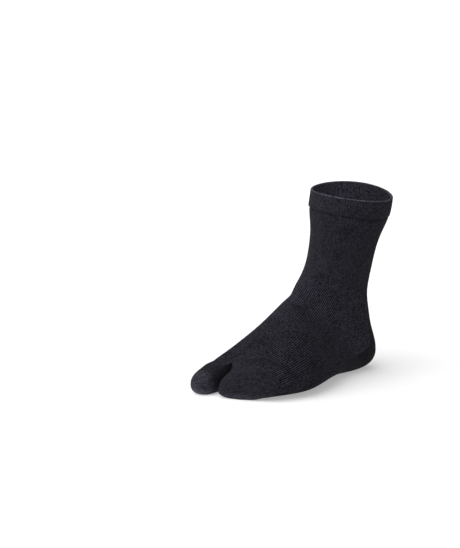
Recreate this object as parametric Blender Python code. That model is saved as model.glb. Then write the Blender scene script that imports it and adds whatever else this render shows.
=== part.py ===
"""Split-toe ankle sock in the form it has on a left foot that stands flat.

Metres, +Z up. The toes point along -Y, and +X is the little toe's side. The origin is on the inside
of the sole, under the middle of the heel.
"""

import bpy
import numpy as np

# Sizes, over the knit
FOOT_LENGTH = 0.240  # back of the heel to the tip of the big toe
SOCK_HEIGHT = 0.196  # floor to the back of the rim
ANKLE_HEIGHT = 0.100  # floor to the bend in front of the ankle
CUFF_WIDTH = 0.084
ANKLE_WIDTH = 0.062
HEEL_WIDTH = 0.066
BALL_WIDTH = 0.101
TOE_HEIGHT = 0.036  # height of the foot where the toes divide
WELT_HEIGHT = 0.020  # the folded band at the top
CAP_LENGTH = 0.016  # the smooth tip of the big toe

# Knit
WALL = 0.0016
WELT_WALL = 0.0027  # two layers
WELT_PROUD = 0.0004  # how far the band stands out from the leg
GAP = 0.0003  # between neighbouring pieces
TOE_SPLIT = 0.0010  # between the two toe pockets where they part
VALLEY_REACH = 0.009  # half width of the dent that leads into the split

# Where the pieces meet, as section numbers counted down from the rim
LEG_END = 4
HEEL_END = 8
FOOT_END = 13

# Sections of the leg, from the rim down. Forward places are shares of FOOT_LENGTH, heights are
# shares of the leg above the ankle, flare goes from the ankle's width to the cuff's, shift is a
# share of CUFF_WIDTH, and tilt is the fall towards the little toe's side.
LEG_COLUMNS = "front front_up back back_up flare shift tilt"
LEG_ROWS = (
    (0.368, 0.98, -0.008, 1.00, 1.00, 0.131, -0.12),
    (0.372, 0.79, 0.008, 0.78, 0.91, 0.119, -0.12),
    (0.368, 0.52, 0.042, 0.50, 0.36, 0.095, -0.10),
    (0.385, 0.24, 0.063, 0.20, 0.09, 0.071, -0.07),
    (0.414, 0.08, 0.063, -0.08, 0.00, 0.036, -0.05),
)

# Sections that fan round the heel. Heights are shares of ANKLE_HEIGHT and widths of HEEL_WIDTH.
# Widest is where a section is widest, from its back (0) to its front (1), and round is the power of
# the back half's outline, where 2 is an ellipse.
HEEL_COLUMNS = "front front_up back back_up inner_half outer_half shift widest round"
HEEL_ROWS = (
    (0.435, 1.02, 0.046, 0.66, 0.470, 0.480, 0.000, 0.48, 2.2),
    (0.460, 0.97, 0.013, 0.38, 0.470, 0.480, -0.010, 0.46, 2.6),
    (0.485, 0.925, 0.004, 0.10, 0.500, 0.520, 0.005, 0.44, 2.8),
    (0.515, 0.88, 0.096, -0.015, 0.530, 0.520, 0.000, 0.42, 2.5),
)

# Sections of the foot, to where the toes divide. Widths are shares of BALL_WIDTH, and valley is the
# depth of the dent over the split, a share of TOE_HEIGHT.
FOOT_COLUMNS = "front front_up back back_up inner_half outer_half shift widest round valley"
FOOT_ROWS = (
    (0.556, 0.825, 0.234, -0.010, 0.366, 0.366, 0.010, 0.38, 2.3, 0.00),
    (0.615, 0.75, 0.389, 0.020, 0.386, 0.446, 0.030, 0.34, 2.6, 0.00),
    (0.682, 0.645, 0.531, 0.000, 0.416, 0.525, 0.030, 0.32, 2.6, 0.00),
    (0.753, 0.515, 0.661, -0.015, 0.406, 0.594, -0.020, 0.34, 2.6, 0.03),
    (0.828, 0.36, 0.828, -0.015, 0.327, 0.604, -0.129, 0.42, 2.6, 0.14),
)

# Outlines of the toe pockets, from the split to the tip. Sides are shares of BALL_WIDTH, heights
# are shares of TOE_HEIGHT, and the first row is the foot's own last section.
TOE_COLUMNS = "along inner outer top floor"
BIG_TOE_ROWS = (
    (0.3, -0.436, -0.135, 0.79, -0.03),
    (0.6, -0.418, -0.145, 0.66, -0.04),
    (1.0, -0.380, -0.170, 0.50, -0.02),
)
BIG_TOE_TIP = (1.003, -0.270, 0.32)  # share of FOOT_LENGTH, BALL_WIDTH and TOE_HEIGHT
FOUR_TOE_ROWS = (
    (0.3, -0.112, 0.380, 0.82, -0.03),
    (0.6, -0.105, 0.240, 0.66, -0.03),
    (1.0, -0.090, 0.040, 0.42, 0.02),
)
FOUR_TOE_TIP = (0.953, -0.020, 0.18)
ROUND_BY = 0.35  # where a pocket has lost the flat wall that it starts with
NOSE_START = 0.58  # where a pocket begins to round off, from its root (0) to its tip (1)
NOSE_POWER = 2.3
TOE_ROUND = 2.5  # power of a toe's section, where 2 is an ellipse
TOE_CORNER = 40  # degrees from the middle of a toe's side to the corners of its flat wall

# The seam between the instep and the heel and sole, as shares of the way round a section from the
# middle of the back or the sole
SEAM_HALF = {LEG_END: 0.11, 6: 0.15, HEEL_END: 0.17, 10: 0.16, FOOT_END: 0.18}

HEEL_CENTRE = 0.113  # share of FOOT_LENGTH from the back of the heel to the origin

# Fineness of the solids
NUDGE = 0.005  # step that a normal is measured over, in sections and in shares of the way round
POINTS_ROUND = 48
POINTS_ACROSS_TOE = 5
STEPS_PER_SECTION = 2
WELT_STATIONS = 4
SHARP_EDGE = 50  # degrees
TOE_STATIONS = (0.0, 0.12, 0.25, 0.4, 0.55, 0.68, 0.79, 0.88, 0.94, 0.98, 1.0)

KNIT_COLOURS = {
    "cuff": (0.020, 0.019, 0.024),
    "leg": (0.018, 0.017, 0.021),
    "instep": (0.021, 0.020, 0.025),
    "heel_pocket": (0.016, 0.015, 0.019),
    "sole": (0.016, 0.015, 0.019),
    "big_toe_pocket": (0.022, 0.021, 0.026),
    "big_toe_cap": (0.027, 0.026, 0.033),
    "four_toe_pocket": (0.022, 0.021, 0.026),
}


def clear_scene():
    for thing in list(bpy.data.objects):
        bpy.data.objects.remove(thing, do_unlink=True)


def section_table():
    """One row of sizes in metres for each section, from the rim to the toes."""
    leg_height = SOCK_HEIGHT - ANKLE_HEIGHT
    sections = []
    for values in LEG_ROWS:
        row = dict(zip(LEG_COLUMNS.split(), values))
        half = (ANKLE_WIDTH + row["flare"] * (CUFF_WIDTH - ANKLE_WIDTH)) / 2
        sections.append(
            (
                row["front"] * FOOT_LENGTH,
                ANKLE_HEIGHT + row["front_up"] * leg_height,
                row["back"] * FOOT_LENGTH,
                ANKLE_HEIGHT + row["back_up"] * leg_height,
                half,
                half,
                row["shift"] * CUFF_WIDTH,
                0.5,
                2.0,
                row["tilt"],
                0.0,
            )
        )
    for columns, rows, width in (
        (HEEL_COLUMNS, HEEL_ROWS, HEEL_WIDTH),
        (FOOT_COLUMNS, FOOT_ROWS, BALL_WIDTH),
    ):
        for values in rows:
            row = dict(zip(columns.split(), values))
            sections.append(
                (
                    row["front"] * FOOT_LENGTH,
                    row["front_up"] * ANKLE_HEIGHT,
                    row["back"] * FOOT_LENGTH,
                    row["back_up"] * ANKLE_HEIGHT,
                    row["inner_half"] * width,
                    row["outer_half"] * width,
                    row["shift"] * width,
                    row["widest"],
                    row["round"],
                    0.0,
                    row.get("valley", 0.0) * TOE_HEIGHT,
                )
            )
    sections = np.array(sections)
    sections[-1, 1] = TOE_HEIGHT
    return sections


def spline(knots, values, at):
    """Natural cubic spline through rows of values, read at the given places."""
    knots = np.asarray(knots, float)
    values = np.asarray(values, float)
    at = np.atleast_1d(np.asarray(at, float))
    step = np.diff(knots)
    count = len(knots)
    matrix = np.eye(count)
    right = np.zeros_like(values)
    slope = np.diff(values, axis=0) / step[:, None]
    for i in range(1, count - 1):
        matrix[i, i - 1 : i + 2] = step[i - 1], 2 * (step[i - 1] + step[i]), step[i]
        right[i] = 6 * (slope[i] - slope[i - 1])
    bend = np.linalg.solve(matrix, right)
    i = np.clip(np.searchsorted(knots, at, side="right") - 1, 0, count - 2)
    done = (at - knots[i])[:, None]
    left = (knots[i + 1] - at)[:, None]
    width = step[i][:, None]
    curved = (bend[i] * left**3 + bend[i + 1] * done**3) / (6 * width)
    near = (values[i] / width - bend[i] * width / 6) * left
    far = (values[i + 1] / width - bend[i + 1] * width / 6) * done
    return curved + near + far


def spread_evenly(points, shares):
    """Points at the given shares of the length of an open line."""
    lengths = np.r_[0, np.cumsum(np.linalg.norm(np.diff(points, axis=0), axis=1))]
    at = np.asarray(shares) * lengths[-1]
    return np.stack([np.interp(at, lengths, points[:, k]) for k in range(points.shape[1])], 1)


def half_section(row, side):
    """Fine outline of half a section, from its front or top to its back or bottom.

    The side is 1 towards the little toe and -1 towards the big one.
    """
    front, front_up, back, back_up, inner, outer, shift, widest, power, tilt, valley = row
    depth = np.hypot(front - back, front_up - back_up)
    angle = np.linspace(0, np.pi, 61)
    cosine, sine = np.cos(angle), np.sin(angle)
    powers = np.where(cosine >= 0, 2.0, power)
    reach = (np.abs(cosine) ** powers + np.abs(sine) ** powers) ** (-1 / powers)
    place = widest + np.where(cosine >= 0, 1 - widest, widest) * reach * cosine
    aside = side * (outer if side > 0 else inner) * reach * sine
    place = place - (cosine > 0) * valley / depth * np.exp(-((aside / VALLEY_REACH) ** 2))
    return np.stack(
        [
            shift + aside,
            back + (front - back) * place,
            np.maximum(back_up + (front_up - back_up) * place + tilt * aside, 0),
        ],
        1,
    )


SECTIONS = section_table()


def foot_point(u, v):
    """Points of the outside at section u and shares v of the way round, from the front or top.

    Shares rise towards the little toe's side, and 0.5 is the middle of the back or the sole.
    """
    row = spline(np.arange(len(SECTIONS)), SECTIONS, u)[0]
    v = np.mod(v, 1.0)
    outer = spread_evenly(half_section(row, 1), np.clip(v * 2, 0, 1))
    inner = spread_evenly(half_section(row, -1), np.clip(2 - v * 2, 0, 1))
    return np.where((v <= 0.5)[:, None], outer, inner)


def unit(vectors):
    return vectors / np.maximum(np.linalg.norm(vectors, axis=-1, keepdims=True), 1e-12)


def upright(normals):
    """Normals turned into the upright plane of the section where the toes divide."""
    return unit(normals * (1, 0, 1))


def ring_normals(rings, side):
    """Outward normals of rings that start on top and go round by way of the given side."""
    along = np.gradient(rings, axis=0)
    across = np.roll(rings, -1, axis=1) - np.roll(rings, 1, axis=1)
    return side * unit(np.cross(across, along))


def foot_grid(stations, shares):
    """Outside and normals at each station, where shares(u) gives the places round the section."""
    points, normals = [], []
    for u in stations:
        v = shares(u)
        low, high = max(u - NUDGE, 0), min(u + NUDGE, FOOT_END)
        along = foot_point(high, v) - foot_point(low, v)
        across = foot_point(u, v + NUDGE) - foot_point(u, v - NUDGE)
        points.append(foot_point(u, v))
        normals.append(unit(np.cross(across, along)))
    if stations[-1] == FOOT_END:
        normals[-1] = upright(normals[-1])
    return np.stack(points), np.stack(normals)


def draw_back(points, closed, first=True, last=True):
    """Draws the free edges of a grid in by half the gap that neighbours keep."""
    points = points.copy()
    if first:
        points[0] += unit(points[1] - points[0]) * GAP / 2
    if last:
        points[-1] += unit(points[-2] - points[-1]) * GAP / 2
    if not closed:
        points[:, 0] += unit(points[:, 1] - points[:, 0]) * GAP / 2
        points[:, -1] += unit(points[:, -2] - points[:, -1]) * GAP / 2
    return points


def knit_material(name):
    material = bpy.data.materials.new(name + "_knit")
    material.use_nodes = True
    shader = material.node_tree.nodes["Principled BSDF"]
    shader.inputs["Base Color"].default_value = (*KNIT_COLOURS[name], 1)
    shader.inputs["Roughness"].default_value = 0.95
    shader.inputs["Metallic"].default_value = 0.0
    return material


def to_part(points):
    """Foot places (aside, forward, up from the floor) as part coordinates."""
    aside, forward, up = np.moveaxis(points, -1, 0)
    return np.stack([aside, HEEL_CENTRE * FOOT_LENGTH - forward, up - WALL], -1)


def add_piece(name, points, faces):
    """Makes a named object from foot places and from faces that are listed as seen from inside."""
    mesh = bpy.data.meshes.new(name)
    outward = [tuple(int(corner) for corner in reversed(face)) for face in faces]
    mesh.from_pydata(to_part(points).tolist(), [], outward)
    mesh.materials.append(knit_material(name))
    mesh.shade_smooth()
    mesh.set_sharp_from_angle(angle=np.radians(SHARP_EDGE))
    piece = bpy.data.objects.new(name, mesh)
    bpy.context.scene.collection.objects.link(piece)
    piece.parent = bpy.data.objects["tabi_sock"]


def add_sheet(name, outside, inside, closed, domed=False):
    """One closed solid between an outside grid and an inside grid of the same layout.

    A closed sheet joins up round its rows, and a domed one ends in a single point at its last row.
    """
    rows, across = outside.shape[:2]
    rings = rows - 1 if domed else rows
    spans = across if closed else across - 1
    points, faces, skins = [], [], []
    for skin, inner in ((outside, False), (inside, True)):
        index = len(points) + np.arange(rings * across).reshape(rings, across)
        points.extend(skin[:rings].reshape(-1, 3))
        patch = []
        for i in range(rings - 1):
            for j in range(spans):
                k = (j + 1) % across
                patch.append((index[i, j], index[i, k], index[i + 1, k], index[i + 1, j]))
        if domed:
            pole = len(points)
            points.append(skin[-1].mean(0))
            patch += [(index[-1, j], index[-1, (j + 1) % across], pole) for j in range(across)]
        faces += [face[::-1] if inner else face for face in patch]
        skins.append(index)
    out, inn = skins
    for j in range(spans):
        k = (j + 1) % across
        faces.append((out[0, k], out[0, j], inn[0, j], inn[0, k]))
        if not domed:
            faces.append((out[-1, j], out[-1, k], inn[-1, k], inn[-1, j]))
    if not closed:
        for i in range(rows - 1):
            faces.append((out[i, 0], out[i + 1, 0], inn[i + 1, 0], inn[i, 0]))
            faces.append((out[i + 1, -1], out[i, -1], inn[i, -1], inn[i + 1, -1]))
    add_piece(name, np.array(points), faces)


def add_turned(name, profile):
    """A closed band, whose profile runs up its inside and down its outside."""
    rows, across = profile.shape[:2]
    index = np.arange(rows * across).reshape(rows, across)
    faces = []
    for i in range(rows):
        for j in range(across):
            k = (j + 1) % across
            n = (i + 1) % rows
            faces.append((index[i, j], index[i, k], index[n, k], index[n, j]))
    add_piece(name, profile.reshape(-1, 3), faces)


def all_round(_u):
    return np.arange(POINTS_ROUND) / POINTS_ROUND


def seam_half(u):
    return float(np.interp(u, list(SEAM_HALF), list(SEAM_HALF.values())))


def under_side(u):
    count = POINTS_ROUND // 3
    return np.linspace(0.5 - seam_half(u), 0.5 + seam_half(u), count + 1)


def upper_side(u):
    count = 2 * POINTS_ROUND // 3
    return np.linspace(seam_half(u) - 0.5, 0.5 - seam_half(u), count + 1)


def stations_between(start, end):
    return np.linspace(start, end, max(2, round((end - start) * STEPS_PER_SECTION) + 1))


def welt_end():
    """Section number where the band at the top ends, WELT_HEIGHT along the knit."""
    stations = np.linspace(0, 2, 41)
    rings = np.stack([foot_point(u, all_round(u)) for u in stations])
    steps = np.linalg.norm(np.diff(rings, axis=0), axis=2).mean(1)
    return float(np.interp(WELT_HEIGHT, np.r_[0, np.cumsum(steps)], stations))


def add_cuff():
    """The folded band, with a rounded fold along the rim."""
    points, normals = foot_grid(np.linspace(0, welt_end(), WELT_STATIONS), all_round)
    points = draw_back(points, True, first=False)
    outside = points + WELT_PROUD * normals
    inside = outside - WELT_WALL * normals
    down = unit(points[1] - points[0])
    fold = outside[0] - WELT_WALL / 2 * normals[0]
    round_off = WELT_WALL / 2
    arc = [
        fold + down * round_off * (1 - np.cos(angle)) + normals[0] * round_off * np.sin(angle)
        for angle in np.radians((-50, 0, 50))
    ]
    outside[0] += down * round_off
    inside[0] += down * round_off
    add_turned("cuff", np.concatenate([inside[::-1], arc, outside]))


def add_foot_sheet(name, start, end, shares, closed):
    points, normals = foot_grid(stations_between(start, end), shares)
    outside = draw_back(points, closed)
    add_sheet(name, outside, outside - WALL * normals, closed)


def toe_outline(rows, root):
    """Reads a pocket's outline at any share of the way along it, from the foot's own section."""
    ends = (root[:, 0].min(), root[:, 0].max(), root[:, 2].max(), root[:, 2].min())
    scale = np.array([BALL_WIDTH, BALL_WIDTH, TOE_HEIGHT, TOE_HEIGHT])
    named = [dict(zip(TOE_COLUMNS.split(), row)) for row in rows]
    knots = [0.0] + [row["along"] for row in named]
    sides = [(row["inner"], row["outer"], row["top"], row["floor"]) for row in named]
    values = [ends] + [np.array(row) * scale for row in sides]
    return lambda along: spline(knots, values, along)[0]


def toe_root(side):
    """The ring that a pocket starts from: its share of the foot's last section and the split."""
    shares = np.linspace(0, 0.5, POINTS_ROUND // 2 + 1) * side
    ring = foot_point(FOOT_END, shares)
    middle = ring[0, 0] + side * TOE_SPLIT / 2
    ring[:, 0] = np.maximum(ring[:, 0], middle) if side > 0 else np.minimum(ring[:, 0], middle)
    up = np.linspace(0, 1, POINTS_ACROSS_TOE + 1)[1:-1, None]
    return np.concatenate([ring, ring[-1] + (ring[0] - ring[-1]) * up])


def round_ring(side):
    """A toe's round section, between -1 and 1 both ways, in step with the points of its root."""
    corner = np.radians(TOE_CORNER)
    far = np.linspace(-corner, np.pi + corner, 121)
    near = np.linspace(np.pi + corner, 2 * np.pi - corner, 41)
    parts = []
    for angle, count in ((far, POINTS_ROUND // 2), (near, POINTS_ACROSS_TOE)):
        cosine, sine = np.cos(angle), np.sin(angle)
        reach = (np.abs(cosine) ** TOE_ROUND + np.abs(sine) ** TOE_ROUND) ** (-1 / TOE_ROUND)
        line = np.stack([side * reach * sine, reach * cosine], 1)
        parts.append(spread_evenly(line, np.linspace(0, 1, count + 1)))
    return np.concatenate([parts[0], parts[1][1:-1]])


def toe_grid(rows, tip, side):
    """Outside and normals of a pocket, from the split to its tip."""
    root = toe_root(side)
    outline = toe_outline(rows, root)
    start = root[0, 1]
    tip_forward, tip_aside, tip_up = np.array(tip) * (FOOT_LENGTH, BALL_WIDTH, TOE_HEIGHT)
    inner, outer, top, floor = outline(0)
    middle = np.array([(inner + outer) / 2, (top + floor) / 2])
    half = np.array([(outer - inner) / 2, (top - floor) / 2])
    flat_side = (root[:, [0, 2]] - middle) / half
    turned = round_ring(side)
    grid = []
    for along in TOE_STATIONS:
        inner, outer, top, floor = outline(along)
        blend = np.clip(along / ROUND_BY, 0, 1)
        blend = blend * blend * (3 - 2 * blend)
        shape = flat_side * (1 - blend) + turned * blend
        aside = (inner + outer) / 2 + (outer - inner) / 2 * shape[:, 0]
        up = (top + floor) / 2 + (top - floor) / 2 * shape[:, 1]
        nose = max(0.0, (along - NOSE_START) / (1 - NOSE_START))
        size = (1 - nose**NOSE_POWER) ** (1 / NOSE_POWER)
        forward = np.full_like(aside, start + (tip_forward - start) * along)
        aside = tip_aside + (aside - tip_aside) * size
        up = np.maximum(tip_up + (up - tip_up) * size, 0)
        grid.append(np.stack([aside, forward, up], 1))
    grid = np.stack(grid)
    normals = ring_normals(grid, side)
    normals[0] = upright(normals[0])
    normals[-1] = (0, 1, 0)
    return grid, normals


def add_toe(name, grid, normals, side, domed, first=True):
    outside = draw_back(grid, True, first=first, last=not domed)
    inside = outside - WALL * normals
    if side < 0:
        outside, inside = outside[:, ::-1], inside[:, ::-1]
    add_sheet(name, outside, inside, True, domed)


def split_at(grid, normals, length):
    """Cuts a grid in two at a ring that lies the given length behind its tip."""
    forward = grid[:, 0, 1]
    cut = forward[-1] - length
    i = int(np.searchsorted(forward, cut))
    share = (cut - forward[i - 1]) / (forward[i] - forward[i - 1])
    ring = (grid[i - 1] + (grid[i] - grid[i - 1]) * share)[None]
    lean = unit(normals[i - 1] + (normals[i] - normals[i - 1]) * share)[None]
    back = np.concatenate([grid[:i], ring]), np.concatenate([normals[:i], lean])
    front = np.concatenate([ring, grid[i:]]), np.concatenate([lean, normals[i:]])
    return back, front


def add_big_toe():
    grid, normals = toe_grid(BIG_TOE_ROWS, BIG_TOE_TIP, -1)
    pocket, cap = split_at(grid, normals, CAP_LENGTH)
    add_toe("big_toe_pocket", *pocket, -1, domed=False)
    add_toe("big_toe_cap", *cap, -1, domed=True)


def add_four_toes():
    grid, normals = toe_grid(FOUR_TOE_ROWS, FOUR_TOE_TIP, 1)
    add_toe("four_toe_pocket", grid, normals, 1, domed=True)


def main():
    clear_scene()
    base = bpy.data.objects.new("tabi_sock", None)
    bpy.context.scene.collection.objects.link(base)
    add_cuff()
    add_foot_sheet("leg", welt_end(), LEG_END, all_round, closed=True)
    add_foot_sheet("instep", LEG_END, FOOT_END, upper_side, closed=False)
    add_foot_sheet("heel_pocket", LEG_END, HEEL_END, under_side, closed=False)
    add_foot_sheet("sole", HEEL_END, FOOT_END, under_side, closed=False)
    add_big_toe()
    add_four_toes()


main()
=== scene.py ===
"""Knitted finish of the split-toe sock, with the floor, the light and the camera.

Every piece is worked out in foot places: aside towards the little toe, forward from the back of the
heel, and up from the floor, in metres. to_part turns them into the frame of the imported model.
"""

import bpy
import numpy as np
from mathutils import Matrix


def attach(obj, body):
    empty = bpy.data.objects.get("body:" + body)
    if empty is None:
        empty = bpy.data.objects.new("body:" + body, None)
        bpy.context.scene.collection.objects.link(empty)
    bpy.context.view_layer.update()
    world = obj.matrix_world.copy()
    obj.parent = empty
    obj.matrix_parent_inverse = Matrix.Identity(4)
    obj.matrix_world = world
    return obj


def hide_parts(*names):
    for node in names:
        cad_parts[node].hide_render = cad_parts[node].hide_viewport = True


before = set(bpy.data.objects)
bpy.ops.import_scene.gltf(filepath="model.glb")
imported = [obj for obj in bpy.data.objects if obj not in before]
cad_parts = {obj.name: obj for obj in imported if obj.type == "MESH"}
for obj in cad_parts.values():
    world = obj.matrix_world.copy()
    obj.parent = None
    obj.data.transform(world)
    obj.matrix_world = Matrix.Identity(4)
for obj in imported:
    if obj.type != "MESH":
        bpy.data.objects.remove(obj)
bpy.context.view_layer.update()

# Sizes over the knit, the same as in the source of the solids
FOOT_LENGTH = 0.240
SOCK_HEIGHT = 0.196
ANKLE_HEIGHT = 0.100
CUFF_WIDTH = 0.084
ANKLE_WIDTH = 0.062
HEEL_WIDTH = 0.066
BALL_WIDTH = 0.101
TOE_HEIGHT = 0.036
WELT_HEIGHT = 0.020
WALL = 0.0016
WELT_WALL = 0.0027
WELT_PROUD = 0.0004  # how far the band stands out from the leg
VALLEY_REACH = 0.009  # half width of the dip behind the split
HEEL_CENTRE = 0.113  # the origin's place along the foot, as a share of its length

# Where the pieces meet, as section numbers counted down from the rim
LEG_END = 4
HEEL_END = 8
FOOT_END = 13

# Sections, the same as in the source of the solids
LEG_COLUMNS = "front front_up back back_up flare shift tilt"
LEG_ROWS = (
    (0.368, 0.98, -0.008, 1.00, 1.00, 0.131, -0.12),
    (0.372, 0.79, 0.008, 0.78, 0.91, 0.119, -0.12),
    (0.368, 0.52, 0.042, 0.50, 0.36, 0.095, -0.10),
    (0.385, 0.24, 0.063, 0.20, 0.09, 0.071, -0.07),
    (0.414, 0.08, 0.063, -0.08, 0.00, 0.036, -0.05),
)
HEEL_COLUMNS = "front front_up back back_up inner_half outer_half shift widest round"
HEEL_ROWS = (
    (0.435, 1.02, 0.046, 0.66, 0.470, 0.480, 0.000, 0.48, 2.2),
    (0.460, 0.97, 0.013, 0.38, 0.470, 0.480, -0.010, 0.46, 2.6),
    (0.485, 0.925, 0.004, 0.10, 0.500, 0.520, 0.005, 0.44, 2.8),
    (0.515, 0.88, 0.096, -0.015, 0.530, 0.520, 0.000, 0.42, 2.5),
)
FOOT_COLUMNS = "front front_up back back_up inner_half outer_half shift widest round valley"
FOOT_ROWS = (
    (0.556, 0.825, 0.234, -0.010, 0.366, 0.366, 0.010, 0.38, 2.3, 0.00),
    (0.615, 0.75, 0.389, 0.020, 0.386, 0.446, 0.030, 0.34, 2.6, 0.00),
    (0.682, 0.645, 0.531, 0.000, 0.416, 0.525, 0.030, 0.32, 2.6, 0.00),
    (0.753, 0.515, 0.661, -0.015, 0.406, 0.594, -0.020, 0.34, 2.6, 0.03),
    (0.828, 0.36, 0.828, -0.015, 0.327, 0.604, -0.129, 0.42, 2.6, 0.14),
)
TOE_COLUMNS = "along inner outer top floor"
BIG_TOE_ROWS = (
    (0.3, -0.436, -0.135, 0.79, -0.03),
    (0.6, -0.418, -0.145, 0.66, -0.04),
    (1.0, -0.380, -0.170, 0.50, -0.02),
)
BIG_TOE_TIP = (1.003, -0.270, 0.32)
FOUR_TOE_ROWS = (
    (0.3, -0.112, 0.380, 0.82, -0.03),
    (0.6, -0.105, 0.240, 0.66, -0.03),
    (1.0, -0.090, 0.040, 0.42, 0.02),
)
FOUR_TOE_TIP = (0.953, -0.020, 0.18)
ROUND_BY = 0.35  # share along a toe by which its wall at the split has become round
NOSE_START = 0.58
NOSE_POWER = 2.3
TOE_ROUND = 2.5
TOE_CORNER = 40  # degrees
# Half of the sole's share round each section
SEAM_HALF = {LEG_END: 0.11, 6: 0.15, HEEL_END: 0.17, 10: 0.16, FOOT_END: 0.18}

# Knit gauge, in metres for each rib, plain wale and row of stitches
RIB_PITCH = 0.0022
PLAIN_PITCH = 0.0016
COURSE = 0.00125

# Heights of the relief
LEG_RIB = 0.00018
INSTEP_RIB = 0.00042
TOE_RIB = 0.00036
RIB_MIDDLE = 0.6  # share of a rib's height that lies within the solid's surface
RIB_GROWS = (3.4, 4.9)  # section numbers between which ribs reach the instep's height
SEAM_FADE = 0.005  # length over which ribs end at the gore seam
SEAM_BLEND = 0.02  # share round over which they do so at the ankle
ROOT_FADE = 0.0015  # length over which ribs end at the roots of the toes
TIP_FADE = (0.86, 0.99)  # shares along a toe between which its ribs end
TOE_FLOOR_FADE = (0.001, 0.004)  # heights over the floor between which they begin
GORE_DEPTH = 0.0003
GORE_WIDTH = 0.0008

# Slow waves as (turns for each metre aside, forward and up, in radians, then phase and share)
WAVE = 0.00010
WAVES = (
    ((0, 210, 130), 0.7, 1.0),
    ((260, 60, -170), 0.0, 1.0),
    ((-190, 120, 0), 2.1, 0.8),
)
WAVE_FLOOR_FADE = (0.002, 0.014)  # heights over the floor between which the waves begin

# The band at the top
WELT_FLARE = 0.0007  # how much further it stands out at its lower edge
FLARE_START = 0.4  # share of its height at which it begins to stand out further
WELT_LIP = 0.0013  # height of its rounded lower edge
WELT_TUCK = 0.0007  # how far the leg dips under that edge
TUCK_LEAST = 0.3  # share of the tuck that is left at the back
WELT_FRONT = -0.05  # where round the leg the flare and the tuck are greatest
WELT_ROWS = 15
LIP_ROWS = (0.6, 0.3, 0.1, 0)  # rows of the lower edge, as shares of its height
RIM_ANGLES = (-67, -45, -22, 0, 22, 45, 67)  # rows over the fold, in degrees

# How the rim leaves its level plane
RIM_RISE = 0.0010
RIM_TILT = 0.0010  # further rise on the near side, and fall on the far one
RIM_NEAR = 0.11  # share round of the near side
RIM_WAVE = 0.0013  # rise of the rim at the front and back, and fall at its sides
RIM_TURN = 0.07  # share round by which the wave's crests are turned
RIM_FADE = (0.7, 2.4)  # section numbers between which all three fade out

# Shades on the yarn, where 1 is the mean of the yarn; most are painted shade and painted light
VALLEY_PAINTED_SHADE = 0.94  # painted shade: how much of its light a full valley loses
RIM_PAINTED_HIGHLIGHT = 3.4  # painted highlight: the fold along the rim is made pale where it catches the light
# painted light: the yarn inside the sock is made paler, more on one side than the other, for light
# falling in
INSIDE_PAINTED_LIGHT = 2.12
INSIDE_RIB = 0.00007  # height of rib whose painted valley shade the inside of the band has
INSIDE_TURN = -0.14  # where round the leg the painted light inside is brightest
INSIDE_CHANGE = 0.9  # how much paler the painted light makes it there, as a power of e
# painted shade in the folds
FOLD_PAINTED_SHADE = 0.55
FOLD_FULL = 0.001  # depth at which a fold has its full painted shade
# painted shade deep in the split between the toes
SPLIT_PAINTED_SHADE = 0.5
SPLIT_DEPTHS = (0.004, 0.030)  # distances from its end between which the painted shade in the split fades out
TUCK_PAINTED_SHADE = 0.25  # painted shade: how much darker the leg is under the edge of the band
LEG_LINES = (0.0134, 0.0193)  # faint lines round the leg, as distances below the band
LEG_LINE_SHADE = 0.12
LEG_LINE_WIDTH = 0.0012
CAP_EDGE_SHADE = 0.35  # how much darker the big toe's tip is at its edge
CAP_EDGE = 0.007
LOW_EDGE_PAINTED_LIGHT = 1.1  # painted light from the floor: how much paler the toes are along it
LOW_EDGE = 0.009  # height at which that ends
LOW_FULL = 0.3  # share of this height up to which it is full

# Painted light and shade: slow changes of a piece's shade along the knit for how the light falls on
# it, as section numbers and shades
LIGHT_PAINTED_ALONG = {
    "leg": ((2.5, 1.0), (4, 1.18)),
    "instep": ((4, 1.10), (7, 1.36), (10, 1.16), (11.5, 0.92), (13, 1.0)),
    "heel_pocket": ((4, 1.6), (6, 1.15), (8, 0.75)),
    "sole": ((8, 0.70), (10, 0.90), (11.5, 1.25), (13, 1.6)),
}

# Folds in the knit, with painted shade in those that sink, as (path in the part's frame, depth, half
# width), in metres
FOLDS = (
    (
        (
            (-0.0090, -0.0965, 0.0865),
            (-0.0031, -0.0984, 0.0849),
            (0.0072, -0.1009, 0.0823),
            (0.0138, -0.0985, 0.0791),
        ),
        0.0010,
        0.0011,
    ),
    (
        ((0.0138, -0.0985, 0.0791), (0.0170, -0.0866, 0.0803), (0.0215, -0.0750, 0.0790)),
        0.0003,
        0.0012,
    ),
    (
        ((-0.0060, -0.1020, 0.0790), (0.0050, -0.1050, 0.0770), (0.0130, -0.1030, 0.0740)),
        -0.0005,
        0.0026,
    ),
    (
        ((0.0040, -0.0715, 0.1070), (0.0120, -0.0690, 0.1080), (0.0190, -0.0655, 0.1080)),
        0.0004,
        0.0010,
    ),
    (
        (
            (-0.0130, -0.1725, 0.0290),
            (0.0050, -0.1700, 0.0340),
            (0.0215, -0.1655, 0.0357),
            (0.0438, -0.1559, 0.0322),
            (0.0542, -0.1498, 0.0228),
        ),
        0.0006,
        0.0034,
    ),
)

# Fineness of the meshes
NUDGE = 0.005  # step in section number and in share round that slopes are read over
SIDE_SHARE = 0.2  # share round each section where lengths down the knit are measured
FINE_STATIONS = 200
OUTLINE_POINTS = 241
FOLD_POINTS = 33
POINTS_PER_RIB = 6
TOE_STRAIGHT = 0.8  # share of a toe's length whose rows are evenly spaced
TOE_STRAIGHT_ROWS = 36
TOE_NOSE_ROWS = 24
CAP_ROW = 27  # row of the big toe where its smooth tip begins
ROW_STEP = 0.0013
UNDER_COLUMNS = 150
INNER_COLUMNS = 120
FIRST_ROWS = (0, 0.25, 0.5, 0.75)  # finer rows of the leg, as shares of its first step
SHARP_ANGLE = np.radians(65)
HAIR = 1e-9


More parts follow.
